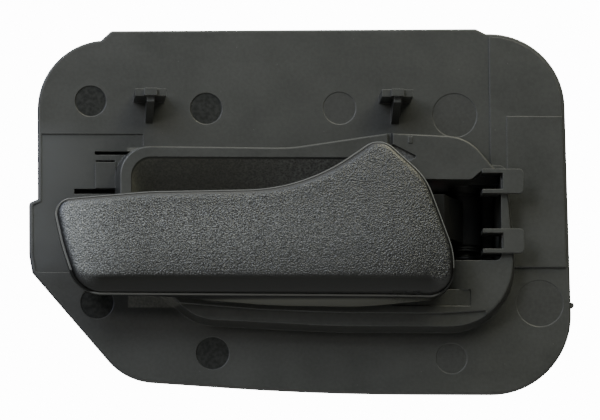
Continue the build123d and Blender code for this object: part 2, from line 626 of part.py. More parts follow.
write("housing", housing())
write("foam_seal", foam_seal())
write("lever_face", lever_face())
write("lever_back_cover", lever_back_cover())
write("lever_core", lever_core())
for name, (x, z) in zip(("outer", "middle", "inner"), SCREW_PLACES):
    write("lever_screw_" + name, lever_screw(x, z))
write("hinge_pin", hinge_pin())
write("pin_retainer", pin_retainer())
write("hub_bush_upper", hub_bush(HUB_Z[1], -1))
write("hub_bush_lower", hub_bush(HUB_Z[0], 1))
write("thrust_washer", thrust_washer())
write("return_spring", return_spring())
write("rod_clip", rod_clip())
for name, z in zip(("lower", "upper"), REST_BUFFER_PLACES):
    write("rest_buffer_" + name, rest_buffer(z))
write("open_stop_buffer", open_stop_buffer())
for number, (x, z) in enumerate(TAB_PLACES, start=1):
    write("panel_clip_%d" % number, panel_clip(x, z))
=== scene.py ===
import bpy
import bmesh
import math
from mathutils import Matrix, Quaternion, Vector
from mathutils.geometry import delaunay_2d_cdt


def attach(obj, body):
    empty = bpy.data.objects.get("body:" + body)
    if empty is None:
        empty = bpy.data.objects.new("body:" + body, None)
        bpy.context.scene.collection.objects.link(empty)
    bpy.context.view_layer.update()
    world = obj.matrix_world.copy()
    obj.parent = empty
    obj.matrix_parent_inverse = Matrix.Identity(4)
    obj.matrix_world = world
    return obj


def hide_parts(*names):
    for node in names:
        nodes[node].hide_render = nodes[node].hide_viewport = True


MM = 0.001

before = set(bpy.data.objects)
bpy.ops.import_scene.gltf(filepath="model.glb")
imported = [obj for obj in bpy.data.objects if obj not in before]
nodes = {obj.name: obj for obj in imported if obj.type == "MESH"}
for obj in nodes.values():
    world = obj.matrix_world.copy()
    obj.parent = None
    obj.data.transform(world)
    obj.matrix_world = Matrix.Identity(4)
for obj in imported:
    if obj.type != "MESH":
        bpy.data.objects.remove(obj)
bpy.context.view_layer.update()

# ---- camera: a little below the part and a little to its left ----
CAMERA_AZIMUTH = math.radians(-3.9)
CAMERA_ELEVATION = math.radians(-9.35)
CAMERA_ROLL = math.radians(-0.47)
CAMERA_DISTANCE = 2.5
CAMERA_LENS = 468.0
CAMERA_AIM = Vector((-0.0005, -0.0055, 0.0004))

# ---- studio ----
FLOOR_Z = -0.7
FLOOR_SIZE = 6.0
FLOOR_TONE = (0.7, 0.7, 0.7, 1)
SURROUND_COLOUR = (0.9, 0.95, 1.0, 1)
SURROUND_FILL = 0.01       # how much the surround lights the part
SURROUND_WHITE = 14.0      # how bright it looks behind the part
LIGHT_DISTANCE = 1.3
# softboxes: name, azimuth and elevation in degrees, size, power, colour
LIGHTS = (("key_low", -32, 15, 0.3, 5.0, (1.0, 1.0, 0.97)),
          ("key_high", -35, 35, 0.5, 7.2, (0.88, 0.97, 1.1)),
          ("side", -75, 30, 0.5, 4.0, (0.85, 0.92, 1.2)),
          ("right", 35, 35, 0.5, 4.8, (1.04, 1.08, 0.88)),
          ("front_high", 0, 45, 0.4, 2.4, (0.94, 1.03, 1.06)),
          ("overhead", 0, 86, 1.2, 9.0, (1.0, 1.0, 0.98)),
          ("top_right", 50, 60, 0.6, 7.2, (1.15, 1.08, 0.75)),
          ("below", 0, -22, 0.4, 0.4, (1.05, 1.05, 0.92)),
          ("behind", 150, 35, 0.8, 9.0, (1.0, 1.0, 1.0)))

# ---- places on the part, in millimetres: +X to the hinge, +Z up, heights h in front of the plate ----
PLATE_FRONT = 5.5          # the plate's front face is this far in front of the seal's rear face
LEVER = ((-80.8, 1.0, 5.0), (-50.0, 3.4, 90.0), (-1.1, 4.0, 58.0), (23.9, 21.2, 7.0), (38.5, 7.4, 20.0),
         (47.4, -17.0, 24.0), (46.8, -30.5, 8.0), (-72.6, -29.4, 11.0), (-77.6, -14.0, 60.0))
# the lever's front along x: x, height of the crown, fall to the lower edge, drop of the lower shoulder
CROWN = ((-84.0, 15.6, 0.6, 2.4), (-76.0, 17.3, 0.8, 2.6), (-55.0, 18.9, 1.0, 3.2), (-20.0, 20.9, 1.2, 4.0),
         (10.0, 22.8, 1.4, 4.6), (32.0, 23.8, 1.8, 4.8), (50.0, 22.6, 2.2, 4.6))
CROWN_Z = -8.0             # where the crown is highest
CROWN_HALF = (21.5, 32.0)  # how far below and above it the falls are measured
CROWN_FALL_UP = 2.6
# the lever's edge on each side: width of the flange, width of the shoulder, drop of the shoulder
EDGE_LEFT = (0.85, 2.2, 1.7)
EDGE_RIGHT = (0.45, 1.8, 0.9)
EDGE_TOP = (0.45, 2.6, 0.9)
EDGE_BOTTOM = (0.75, 5.6, None)    # None: the drop is the last column of CROWN
RIM_R = 0.25
GROOVE_WIDTH = 0.16
GROOVE_DEPTH = 0.12
REAR_EDGE_R = 0.5
SHELL_T = 1.9
ROOF_GAP = 0.2             # the inside of the wall starts this far under the rim
LEAST_WALL = 0.4           # and at least this far in front of the rear edge
REAR_H = (13.2, 10.6)      # rear edge of the shell at the free end and from the middle on
REAR_X = (-52.0, -6.0)
FLARE = 2.4                # how far the lower wall runs out below the rim at the belly
FLARE_X = (-54.0, -2.0, 14.0, 45.0)
CUP_X = (-56.0, 37.5)      # where the finger cup's grained wall is
CUP_Z = (-31.5, 20.8)
# ejector marks on the plate: x, z and radius
DEEP_MARKS = ((-67.5, 35.6, 5.0), (-30.4, 33.3, 5.1), (-65.6, -29.7, 5.3), (-28.8, -46.0, 5.3))
FAINT_MARKS = ((12.5, 33.6, 5.3), (49.6, 31.4, 7.2), (47.7, -47.6, 5.0), (76.3, -29.7, 7.6))

# ---- mesh of the lever's shell ----
OUTLINE_STEP = 0.6
GRID_STEP = 1.3            # between the points that fill the crown
GRID_CLEARANCE = 0.6       # share of GRID_STEP that they keep off the outline
ROUND_STEPS = 4            # faces round a small edge
WALL_STEPS = 6             # faces up the side wall
SHOULDER_STEPS = 12        # faces over the shoulder
GRAIN_START = 2            # the grain fades in over the shoulder from this step
SHARP_ANGLE = math.radians(50)


def smooth_step(value, low, high):
    """0 below low, 1 above high, and smooth between."""
    share = min(1.0, max(0.0, (value - low) / (high - low)))
    return share * share * (3 - 2 * share)


def smooth_row(table, x):
    """The table's columns at x, along a smooth curve through its rows."""
    last = len(table) - 1
    index = max(i for i in range(last) if i == 0 or table[i][0] <= x)
    rows = [table[max(0, min(last, index + k))] for k in (-1, 0, 1, 2)]
    width = rows[2][0] - rows[1][0]
    share = min(1.0, max(0.0, (x - rows[1][0]) / width))
    values = []
    for column in range(1, len(table[0])):
        slopes = []
        for before, after in ((rows[0], rows[2]), (rows[1], rows[3])):
            slopes.append((after[column] - before[column]) / (after[0] - before[0]) * width)
        start, end = rows[1][column], rows[2][column]
        values.append(start + share * slopes[0]
                      + share ** 2 * (3 * (end - start) - 2 * slopes[0] - slopes[1])
                      + share ** 3 * (2 * (start - end) + slopes[0] + slopes[1]))
    return values


def rounded_outline(corners, step):
    """Evenly spaced points along a closed outline with rounded corners."""
    dense = []
    for index, (x, z, radius) in enumerate(corners):
        corner = Vector((x, z))
        before = (Vector(corners[index - 1][:2]) - corner).normalized()
        after = (Vector(corners[(index + 1) % len(corners)][:2]) - corner).normalized()
        half = before.angle(after) / 2
        centre = corner + (before + after).normalized() * (radius / math.sin(half))
        start = corner + before * (radius / math.tan(half)) - centre
        end = corner + after * (radius / math.tan(half)) - centre
        turn = start.angle(end)
        count = max(4, round(turn * radius / (step / 4)))
        for k in range(count + 1):
            share = k / count
            dense.append(centre + (start * math.sin((1 - share) * turn) + end * math.sin(share * turn))
                         / math.sin(turn))
    lengths = [0.0]
    for index, point in enumerate(dense):
        lengths.append(lengths[-1] + (dense[(index + 1) % len(dense)] - point).length)
    count = round(lengths[-1] / step)
    points = []
    segment = 0
    for k in range(count):
        along = lengths[-1] * k / count
        while lengths[segment + 1] < along:
            segment += 1
        share = (along - lengths[segment]) / max(1e-9, lengths[segment + 1] - lengths[segment])
        points.append(dense[segment].lerp(dense[(segment + 1) % len(dense)], share))
    return points


def inward_normals(points):
    """The direction into a closed outline at each of its points."""
    count = len(points)
    area = sum(points[i - 1].x * points[i].y - points[i].x * points[i - 1].y for i in range(count))
    side = 1.0 if area > 0 else -1.0
    normals = []
    for index in range(count):
        along = (points[(index + 2) % count] - points[index - 2]).normalized()
        normals.append(Vector((-along.y, along.x)) * side)
    return normals


def crown_height(x, z):
    """Height of the lever's crowned front in front of the plate."""
    height, fall_low, _ = smooth_row(CROWN, x)
    if z < CROWN_Z:
        return height - fall_low * ((CROWN_Z - z) / CROWN_HALF[0]) ** 2
    return height - CROWN_FALL_UP * ((z - CROWN_Z) / CROWN_HALF[1]) ** 2


def edge_values(point, inward):
    """Flange width, shoulder width and shoulder drop at a point of the lever's outline."""
    sides = ((max(0.0, inward.x), EDGE_LEFT), (max(0.0, -inward.x), EDGE_RIGHT),
             (max(0.0, -inward.y), EDGE_TOP), (max(0.0, inward.y), EDGE_BOTTOM))
    low_drop = smooth_row(CROWN, point.x)[2]
    return [sum(share ** 2 * (low_drop if values[k] is None else values[k]) for share, values in sides)
            for k in range(3)]


def edge_profile(point, inward):
    """The lever shell's section at one point of its outline: distances in from the outline, heights
    and strength of the grain, from the inside of the wall round its rear edge to the crown."""
    flange, width, drop = edge_values(point, inward)
    rear = REAR_H[0] + (REAR_H[1] - REAR_H[0]) * smooth_step(point.x, *REAR_X)
    belly = smooth_step(point.x, *FLARE_X[:2]) * (1 - smooth_step(point.x, *FLARE_X[2:]))
    flare = FLARE * belly * max(0.0, inward.y) ** 2

    def front(distance):
        place = point + inward * distance
        return crown_height(place.x, place.y)

    rim = front(flange) - drop
    section = [(SHELL_T, max(rear + LEAST_WALL, front(SHELL_T) - drop - ROOF_GAP), 0.0), (SHELL_T, rear, 0.0)]
    for k in range(ROUND_STEPS + 1):
        turn = math.radians(90 * k / ROUND_STEPS)
        section.append((REAR_EDGE_R * (1 - math.sin(turn)) - flare,
                        rear + REAR_EDGE_R * (1 - math.cos(turn)), 0.0))
    wall_low = rear + REAR_EDGE_R
    for k in range(1, WALL_STEPS):
        share = k / WALL_STEPS
        section.append((-flare * (1 - share), wall_low + (rim - RIM_R - wall_low) * share, 0.0))
    for k in range(ROUND_STEPS + 1):
        turn = math.radians(90 * k / ROUND_STEPS)
        section.append((RIM_R * (1 - math.cos(turn)), rim - RIM_R * (1 - math.sin(turn)), 0.0))
    section.append((flange, rim, 0.0))
    section.append((flange + GROOVE_WIDTH / 2, rim - GROOVE_DEPTH, 0.0))
    start = flange + GROOVE_WIDTH
    low_share = max(0.0, inward.y) ** 2    # the lower shoulder stays smooth almost up to the crown
    for k in range(SHOULDER_STEPS + 1):
        turn = math.radians(90 * k / SHOULDER_STEPS)
        distance = start + width * (1 - math.cos(turn))
        grain = (smooth_step(k, GRAIN_START, SHOULDER_STEPS) * (1 - low_share)
                 + smooth_step(k, SHOULDER_STEPS - 2, SHOULDER_STEPS + 1) * low_share)
        section.append((distance, front(distance) - drop * (1 - math.sin(turn)), grain))
    return section


def place_vert(bm, x, z, height, grain_layer, grain):
    """A vertex at a height in front of the plate, with its share of the grain."""
    vert = bm.verts.new((x * MM, -(PLATE_FRONT + height) * MM, z * MM))
    vert[grain_layer] = grain
    return vert


def inside(point, loop):
    """Whether a point is inside a closed loop."""
    result = False
    for index in range(len(loop)):
        a, b = loop[index - 1], loop[index]
        if (a.y > point.y) != (b.y > point.y):
            if point.x < a.x + (point.y - a.y) / (b.y - a.y) * (b.x - a.x):
                result = not result
    return result


def fill_points(loop, step):
    """Staggered points that fill a closed loop, clear of its edge."""
    low = Vector((min(p.x for p in loop), min(p.y for p in loop)))
    high = Vector((max(p.x for p in loop), max(p.y for p in loop)))
    points = []
    row_step = step * math.sqrt(3) / 2
    for row in range(int((high.y - low.y) / row_step) + 1):
        for column in range(int((high.x - low.x) / step) + 2):
            point = Vector((low.x + (column + row % 2 / 2) * step, low.y + row * row_step))
            if inside(point, loop) and min((point - p).length for p in loop) > step * GRID_CLEARANCE:
                points.append(point)
    return points


def build_lever_face():
    """The lever's front shell: crowned skin, shoulder, rim flange, side wall and hollow rear."""
    points = rounded_outline(LEVER, OUTLINE_STEP)
    normals = inward_normals(points)
    sections = [edge_profile(point, inward) for point, inward in zip(points, normals)]
    bm = bmesh.new()
    grain_layer = bm.verts.layers.float.new("grain")
    rings = []
    for k in range(len(sections[0])):
        ring = []
        for point, inward, section in zip(points, normals, sections):
            distance, height, grain = section[k]
            place = point + inward * distance
            ring.append(place_vert(bm, place.x, place.y, height, grain_layer, grain))
        rings.append(ring)

    def join(first, second):
        for index in range(len(first)):
            bm.faces.new((first[index - 1], first[index], second[index], second[index - 1]))

    for first, second in zip(rings, rings[1:]):
        join(first, second)

    loop = [Vector((vert.co.x / MM, vert.co.z / MM)) for vert in rings[-1]]
    grid = fill_points(loop, GRID_STEP)
    filled = delaunay_2d_cdt(loop + grid, [], [list(range(len(loop)))], 1, 1e-5)
    inner_ring = [place_vert(bm, vert.co.x / MM, vert.co.z / MM, -vert.co.y / MM - PLATE_FRONT - SHELL_T,
                             grain_layer, 0.0) for vert in rings[-1]]
    join(inner_ring, rings[0])
    for lower, ring in ((0.0, rings[-1]), (SHELL_T, inner_ring)):
        verts = list(ring)
        for point in grid:
            height = crown_height(point.x, point.y) - lower
            verts.append(place_vert(bm, point.x, point.y, height, grain_layer, 0.0 if lower else 1.0))
        for face in filled[2]:
            bm.faces.new([verts[filled[3][index][0]] for index in face])
    bmesh.ops.recalc_face_normals(bm, faces=bm.faces)
    for face in bm.faces:
        face.smooth = True
    for edge in bm.edges:
        edge.smooth = edge.calc_face_angle(0.0) < SHARP_ANGLE
    return finish_piece(bm, "lever_face_skin")


def finish_piece(bm, name):
    """A piece from finished mesh work."""
    mesh = bpy.data.meshes.new(name)
    bm.to_mesh(mesh)
    bm.free()
    piece = bpy.data.objects.new(name, mesh)
    bpy.context.scene.collection.objects.link(piece)
    return piece


# ---- camera and studio ----
def make_camera():
    """A long lens, a little below the part and a little to its left."""
    data = bpy.data.cameras.new("camera")
    camera = bpy.data.objects.new("camera", data)
    bpy.context.scene.collection.objects.link(camera)
    bpy.context.scene.camera = camera
    back = Vector((math.sin(CAMERA_AZIMUTH) * math.cos(CAMERA_ELEVATION),
                   -math.cos(CAMERA_AZIMUTH) * math.cos(CAMERA_ELEVATION),
                   math.sin(CAMERA_ELEVATION)))
    camera.location = CAMERA_AIM + back * CAMERA_DISTANCE
    camera.rotation_mode = "QUATERNION"
    camera.rotation_quaternion = (-back).to_track_quat("-Z", "Y") @ Quaternion((0, 0, 1), CAMERA_ROLL)
    data.lens = CAMERA_LENS
    data.sensor_width = 36.0
    data.clip_start = 0.01
    data.clip_end = 50.0


def add_light(name, place, size, power, colour):
    """A square softbox that points at the part."""
    data = bpy.data.lights.new(name, "AREA")
    data.size = size
    data.energy = power
    data.color = colour
    light = bpy.data.objects.new(name, data)
    bpy.context.scene.collection.objects.link(light)
    light.location = place
    light.rotation_mode = "QUATERNION"
    light.rotation_quaternion = (-place).to_track_quat("-Z", "Y")
    light.visible_camera = False


def make_studio():
    """A pale floor, a white surround and softboxes all round."""
    bm = bmesh.new()
    bmesh.ops.create_grid(bm, x_segments=2, y_segments=2, size=FLOOR_SIZE / 2)
    floor = finish_piece(bm, "floor")
    floor.location = (0, 0, FLOOR_Z)
    material = bpy.data.materials.new("floor")
    material.use_nodes = True
    shader = material.node_tree.nodes["Principled BSDF"]
    shader.inputs["Base Color"].default_value = FLOOR_TONE
    shader.inputs["Roughness"].default_value = 0.9
    floor.data.materials.append(material)

    world = bpy.data.worlds.new("studio")
    bpy.context.scene.world = world
    world.use_nodes = True
    tree = world.node_tree
    tree.nodes.clear()
    output = tree.nodes.new("ShaderNodeOutputWorld")
    mix = tree.nodes.new("ShaderNodeMixShader")
    path = tree.nodes.new("ShaderNodeLightPath")
    fill = tree.nodes.new("ShaderNodeBackground")
    fill.inputs["Color"].default_value = SURROUND_COLOUR
    fill.inputs["Strength"].default_value = SURROUND_FILL
    white = tree.nodes.new("ShaderNodeBackground")
    white.inputs["Color"].default_value = (1, 1, 1, 1)
    white.inputs["Strength"].default_value = SURROUND_WHITE
    tree.links.new(path.outputs["Is Camera Ray"], mix.inputs["Fac"])
    tree.links.new(fill.outputs["Background"], mix.inputs[1])
    tree.links.new(white.outputs["Background"], mix.inputs[2])
    tree.links.new(mix.outputs["Shader"], output.inputs["Surface"])

    for name, azimuth, elevation, size, power, colour in LIGHTS:
        around, up = math.radians(azimuth), math.radians(elevation)
        place = Vector((math.sin(around) * math.cos(up), -math.cos(around) * math.cos(up), math.sin(up)))
        add_light(name, place * LIGHT_DISTANCE, size, power, colour)


# ---- materials: colours are linear red, green and blue, sizes and places are in millimetres ----
# a SHARE says how much of a colour or a relief is laid over what is already there
FAR_OFF = 100.0            # further than any place on the part is from a mark
EDGE_SAMPLES = 4
EDGE_TURN = (0.72, 0.97)   # cosines between a face and its rounded edge: all edge, and no edge
UNEVEN = (0.3, 0.7)        # the range of noise that is spread over a change in shine

# the lever's plastic
PEBBLE_SIZE = 0.5
GRIT_SIZE = 0.42
GRIT_SHARE = 0.9           # height of the grit against the pebbles
LEVER_GRAIN_DEPTH = 0.19
SMOOTH_GRAIN = 0.1         # strength of the relief where the lever is smooth
SCUFF_X = (27.0, 37.0)     # scuffs on the lower edge
SCUFF_Z = (-31.5, -28.6)
SCUFF_SIZE = 0.8
SCUFF_LIMIT = 0.56
SCUFF_DEPTH = 0.25
LEVER_TONE_SIZE = 9.0
LEVER_DARK = (0.010, 0.010, 0.010)
LEVER_PALE = (0.016, 0.016, 0.016)
GLINT_LIMITS = (0.46, 0.62)      # how high the grit is where the painted glints on its tops start and end
# painted glints: pale tops of the grain
PAINTED_GLINT = (0.115, 0.118, 0.118)
# painted shade across the lever, darker towards its right, its bottom and its top: axis, where it starts and
# ends, its share at the start and the end, and its tone
LEVER_PAINTED_SHADE = (("X", -25.0, 42.0, 0.1, 0.78, 0.006), ("Z", -25.0, -12.0, 0.85, 0.0, 0.007),
                ("Z", -6.0, 4.0, 0.0, 0.55, 0.007))
STRIP_Z = (-22.0, -18.0)   # the smooth lower shoulder is below this
STRIP_GRAIN = 0.6          # and has less grain than this
# painted shade on the smooth lower shoulder
STRIP_SHADE_SHARE = 0.9
STRIP_SHADE_COLOUR = (0.006, 0.006, 0.0055)
TIP_X = (-84.0, -44.0)     # painted highlight on the lever's free end, fading out between these
TIP_HIGHLIGHT_DARK = (0.10, 0.104, 0.108)
TIP_HIGHLIGHT_PALE = (0.26, 0.268, 0.275)
FLANGE_FACING = (-0.97, -0.9)      # the thin flange round the lever faces forward
FLANGE_GRAIN = 0.03                # and has less grain than this
SHOULDER_X = (-90.0, 60.0)         # the lower shoulder isn't part of it
SHOULDER_Z = (-28.6, -21.5)
# painted highlight on the flange
FLANGE_HIGHLIGHT_COLOUR = (0.11, 0.11, 0.105)
# painted light on the underside of the lever's lower edge
UNDERSIDE_Z = (-31.0, -30.4)
UNDERSIDE_LIGHT_COLOUR = (0.075, 0.075, 0.065)
LEVER_ROUGHNESS = (0.34, 0.30)     # where it is smooth, and where it is grained
LEVER_GLOSS = (0.55, 0.25)         # elsewhere, and on the lower shoulder

# the housing's plastic
PLASTIC_EDGE_R = 0.35
FRONT_FACING = (-0.04, 0.04)   # outward Y of front faces, and of all others
CUP_TOP = 7.2              # the finger cup's grain starts this high in front of the plate
CUP_GRAIN_SIZE = 0.6
CUP_GRAIN_DEPTH = 0.12
CUP_GRAIN_SHARE = 0.9
# painted light in the finger cup: paler than the housing, rising to a painted highlight towards the right, a
# little darker in the pits between the grain cells
CUP_LIT_LEFT = (0.10, 0.099, 0.087)
CUP_HIGHLIGHT_RIGHT = (0.22, 0.223, 0.218)
CUP_HIGHLIGHT_X = (-30.0, 22.0)
CUP_LIT_PIT = (0.06, 0.059, 0.053)
PIT_LIMITS = (0.1, 0.6)    # how far the pits between cells reach
# the satin texture and the slight waves of the moulding: size, detail, depth and strength
HOUSING_RELIEF = ((0.6, 3.0, 0.035, 0.5), (16.0, 2.0, 0.25, 0.25))
HOUSING_TONE_SIZE = 14.0
HOUSING_DARK = (0.021, 0.0215, 0.020)
HOUSING_PALE = (0.028, 0.0285, 0.0265)
FREE_END_X = (-88.0, -58.0)    # painted reflection on the plate under the lever's free end
FREE_END_BOX = ((-95.0, -50.0), (-24.0, 30.0))
FREE_END_SOFT = 8.0
FREE_END_REFLECTION_SHARE = 0.8
FREE_END_REFLECTION_COLOUR = (0.052, 0.054, 0.058)
PLATE_TOP = 0.35           # only what is lower than this is the plate
MARK_EDGE = (-0.25, 0.15)  # how far inside and outside its edge a mark fades out
MARK_RING = 0.35           # width of the thin ring of painted highlight on each side of the edge
MARK_RING_HIGHLIGHT_SHARE = 0.25
MARK_RING_HIGHLIGHT_COLOUR = (0.05, 0.05, 0.048)
# the marks, their colour and how deep their relief is
MARK_SETS = ((DEEP_MARKS, (0.007, 0.0075, 0.007), 0.3), (FAINT_MARKS, (0.020, 0.020, 0.019), 0.1))
# mottling, painted highlights on the edges, dust specks and a painted highlight along a line beside the
# collar
MOTTLE_SIZE = 1.1
MOTTLE_LIMITS = (0.35, 0.65)
MOTTLE_SHARE = 0.35
MOTTLE_COLOUR = (0.040, 0.041, 0.039)
# painted highlights on the rounded edges
EDGE_HIGHLIGHT_SHARE = 0.55
EDGE_HIGHLIGHT_COLOUR = (0.10, 0.101, 0.098)
SPECK_SPACING = 4.5
SPECK_SIZE = 0.035
SPECK_SHARE = 0.35
SPECK_COLOUR = (0.12, 0.12, 0.115)
# a broken line of painted highlight beside the collar
LINE_HIGHLIGHT_BOX = ((60.7, 61.3), (-17.0, 34.0))
LINE_HIGHLIGHT_SIZE = 2.5
LINE_HIGHLIGHT_SHARE = 0.3
LINE_HIGHLIGHT_COLOUR = (0.07, 0.07, 0.068)
STREAK_WIDTH = 3.0
STREAK_STRETCH = 0.12      # along X
HOUSING_ROUGHNESS = (0.40, 0.48)   # least and most, as the tone changes
HOUSING_GLOSS = (0.5, 0.22)    # elsewhere, and in the deep marks

# the other materials
SMALL_EDGE_R = 0.2
PLAIN_TONE_SIZE = 6.0
STEEL_EDGE_R = 0.12
DRAWN_LINE_WIDTH = 0.15
DRAWN_LINE_STRETCH = 0.08      # along Z
STEEL_PATCH_SIZE = 2.5
RUBBER_TEXTURE_SIZE = 0.3
BLOOM_SIZE = 1.6
RUBBER_BLACK = (0.010, 0.010, 0.010)
RUBBER_BLOOM = (0.026, 0.026, 0.027)
FOAM_CELL_SIZE = 0.8
FOAM_TONE_SIZE = 5.0
FOAM_PIT = (0.022, 0.022, 0.024)
FOAM_SKIN = (0.055, 0.055, 0.058)
FOAM_DUST = (0.035, 0.035, 0.036)


class Paint:
    """A procedural material that is built up from patterns in millimetres."""

    def __init__(self, name):
        self.material = bpy.data.materials.new(name)
        self.material.use_nodes = True
        self.tree = self.material.node_tree
        self.shader = self.tree.nodes["Principled BSDF"]
        place = self.tree.nodes.new("ShaderNodeTexCoord")
        scale = self.tree.nodes.new("ShaderNodeVectorMath")
        scale.operation = "SCALE"
        scale.inputs["Scale"].default_value = 1 / MM
        self.tree.links.new(place.outputs["Object"], scale.inputs[0])
        self.place = scale.outputs[0]
        self.normal = None

    def node(self, kind, **settings):
        """A node with its settings."""
        node = self.tree.nodes.new(kind)
        for key, value in settings.items():
            setattr(node, key, value)
        return node

    def put(self, socket, value):
        """A number, a colour or another node's output into a socket."""
        if isinstance(value, bpy.types.NodeSocket):
            self.tree.links.new(value, socket)
        elif isinstance(value, tuple) and len(value) == 3 and socket.type == "RGBA":
            socket.default_value = (*value, 1)
        else:
            socket.default_value = value

    def noise(self, size, detail=2.0, place=None):
        """Soft noise whose blotches are about this size."""
        node = self.node("ShaderNodeTexNoise")
        self.put(node.inputs["Vector"], place or self.place)
        self.put(node.inputs["Scale"], 1 / size)
        self.put(node.inputs["Detail"], detail)
        return node.outputs["Fac"]

    def cells(self, size, feature="SMOOTH_F1"):
        """Cells of this size, rounded unless the feature is F1."""
        node = self.node("ShaderNodeTexVoronoi", feature=feature)
        self.put(node.inputs["Vector"], self.place)
        self.put(node.inputs["Scale"], 1 / size)
        return node.outputs["Distance"]

    def math(self, operation, first, second=0.0):
        """Arithmetic on numbers or outputs."""
        node = self.node("ShaderNodeMath", operation=operation)
        self.put(node.inputs[0], first)
        self.put(node.inputs[1], second)
        return node.outputs[0]

    def product(self, *shares):
        """Shares multiplied together."""
        result = shares[0]
        for share in shares[1:]:
            result = self.math("MULTIPLY", result, share)
        return result

    def spread(self, value, low, high, to_low=0.0, to_high=1.0, smooth=False):
        """A value between low and high, spread over a new range."""
        node = self.node("ShaderNodeMapRange", interpolation_type="SMOOTHSTEP" if smooth else "LINEAR")
        for key, number in (("Value", value), ("From Min", low), ("From Max", high),
                            ("To Min", to_low), ("To Max", to_high)):
            self.put(node.inputs[key], number)
        return node.outputs["Result"]

    def blend_colour(self, share, first, second):
        """Two colours mixed by a share."""
        node = self.node("ShaderNodeMix", data_type="RGBA")
        self.put(node.inputs["Factor"], share)
        self.put(node.inputs["A"], (*first, 1) if isinstance(first, tuple) else first)
        self.put(node.inputs["B"], (*second, 1) if isinstance(second, tuple) else second)
        return node.outputs["Result"]

    def axis(self, name):
        """One coordinate in millimetres."""
        node = self.node("ShaderNodeSeparateXYZ")
        self.put(node.inputs[0], self.place)
        return node.outputs[name]

    def ramp(self, name, low, high, to_low, to_high, smooth=False):
        """A value that changes along one axis, between two places on it."""
        return self.spread(self.axis(name), low, high, to_low, to_high, smooth)

    def stretched(self, factors):
        """Coordinates that are scaled along each axis, for streaks."""
        node = self.node("ShaderNodeVectorMath", operation="MULTIPLY")
        self.put(node.inputs[0], self.place)
        self.put(node.inputs[1], factors)
        return node.outputs[0]

    def above(self, value, limit, soft=0.06):
        """1 where a value is over a limit."""
        return self.spread(value, limit - soft, limit + soft)

    def box(self, x, z, soft=0.4):
        """1 inside limits along X and Z."""
        share = 1.0
        for name, (low, high) in (("X", x), ("Z", z)):
            half = (high - low) / 2
            off = self.math("ABSOLUTE", self.math("SUBTRACT", self.axis(name), (low + high) / 2))
            share = self.math("MULTIPLY", self.spread(off, half - soft, half, 1.0, 0.0), share)
        return share

    def behind(self, height, soft=0.3):
        """1 for whatever is less than this high in front of the plate."""
        edge = -(PLATE_FRONT + height)
        return self.spread(self.axis("Y"), edge - soft, edge)

    def nearest_mark(self, marks):
        """Distance out from the edge of the nearest round mark."""
        nearest = FAR_OFF
        for x, z, radius in marks:
            flat = self.node("ShaderNodeVectorMath", operation="MULTIPLY")
            self.put(flat.inputs[0], self.place)
            self.put(flat.inputs[1], (1, 0, 1))
            gap = self.node("ShaderNodeVectorMath", operation="DISTANCE")
            self.put(gap.inputs[0], flat.outputs[0])
            self.put(gap.inputs[1], (x, 0, z))
            nearest = self.math("MINIMUM", self.math("SUBTRACT", gap.outputs["Value"], radius), nearest)
        return nearest

    def outward(self, name):
        """One part of the surface's outward direction, in the object's own frame."""
        coordinates = self.node("ShaderNodeTexCoord")
        split = self.node("ShaderNodeSeparateXYZ")
        self.put(split.inputs[0], coordinates.outputs["Normal"])
        return split.outputs[name]

    def round_edges(self, radius):
        """Edges that catch the light as if they had this radius. Returns 1 on the edges and 0 elsewhere."""
        node = self.node("ShaderNodeBevel", samples=EDGE_SAMPLES)
        self.put(node.inputs["Radius"], radius * MM)
        self.normal = node.outputs["Normal"]
        flat = self.node("ShaderNodeNewGeometry")
        dot = self.node("ShaderNodeVectorMath", operation="DOT_PRODUCT")
        self.put(dot.inputs[0], flat.outputs["True Normal"])
        self.put(dot.inputs[1], self.normal)
        return self.spread(dot.outputs["Value"], *EDGE_TURN, 1.0, 0.0)

    def relief(self, height, depth, strength=1.0):
        """Fine relief of this depth in millimetres, on top of the relief so far."""
        node = self.node("ShaderNodeBump")
        self.put(node.inputs["Height"], height)
        self.put(node.inputs["Distance"], depth * MM)
        self.put(node.inputs["Strength"], strength)
        if self.normal is not None:
            self.put(node.inputs["Normal"], self.normal)
        self.normal = node.outputs["Normal"]
        self.put(self.shader.inputs["Normal"], self.normal)

    def finish(self, colour, roughness, metallic=0.0, gloss=0.5):
        """The colour and the shine."""
        self.put(self.shader.inputs["Specular IOR Level"], gloss)
        self.put(self.shader.inputs["Base Color"], colour)
        self.put(self.shader.inputs["Roughness"], roughness)
        self.put(self.shader.inputs["Metallic"], metallic)
        return self.material


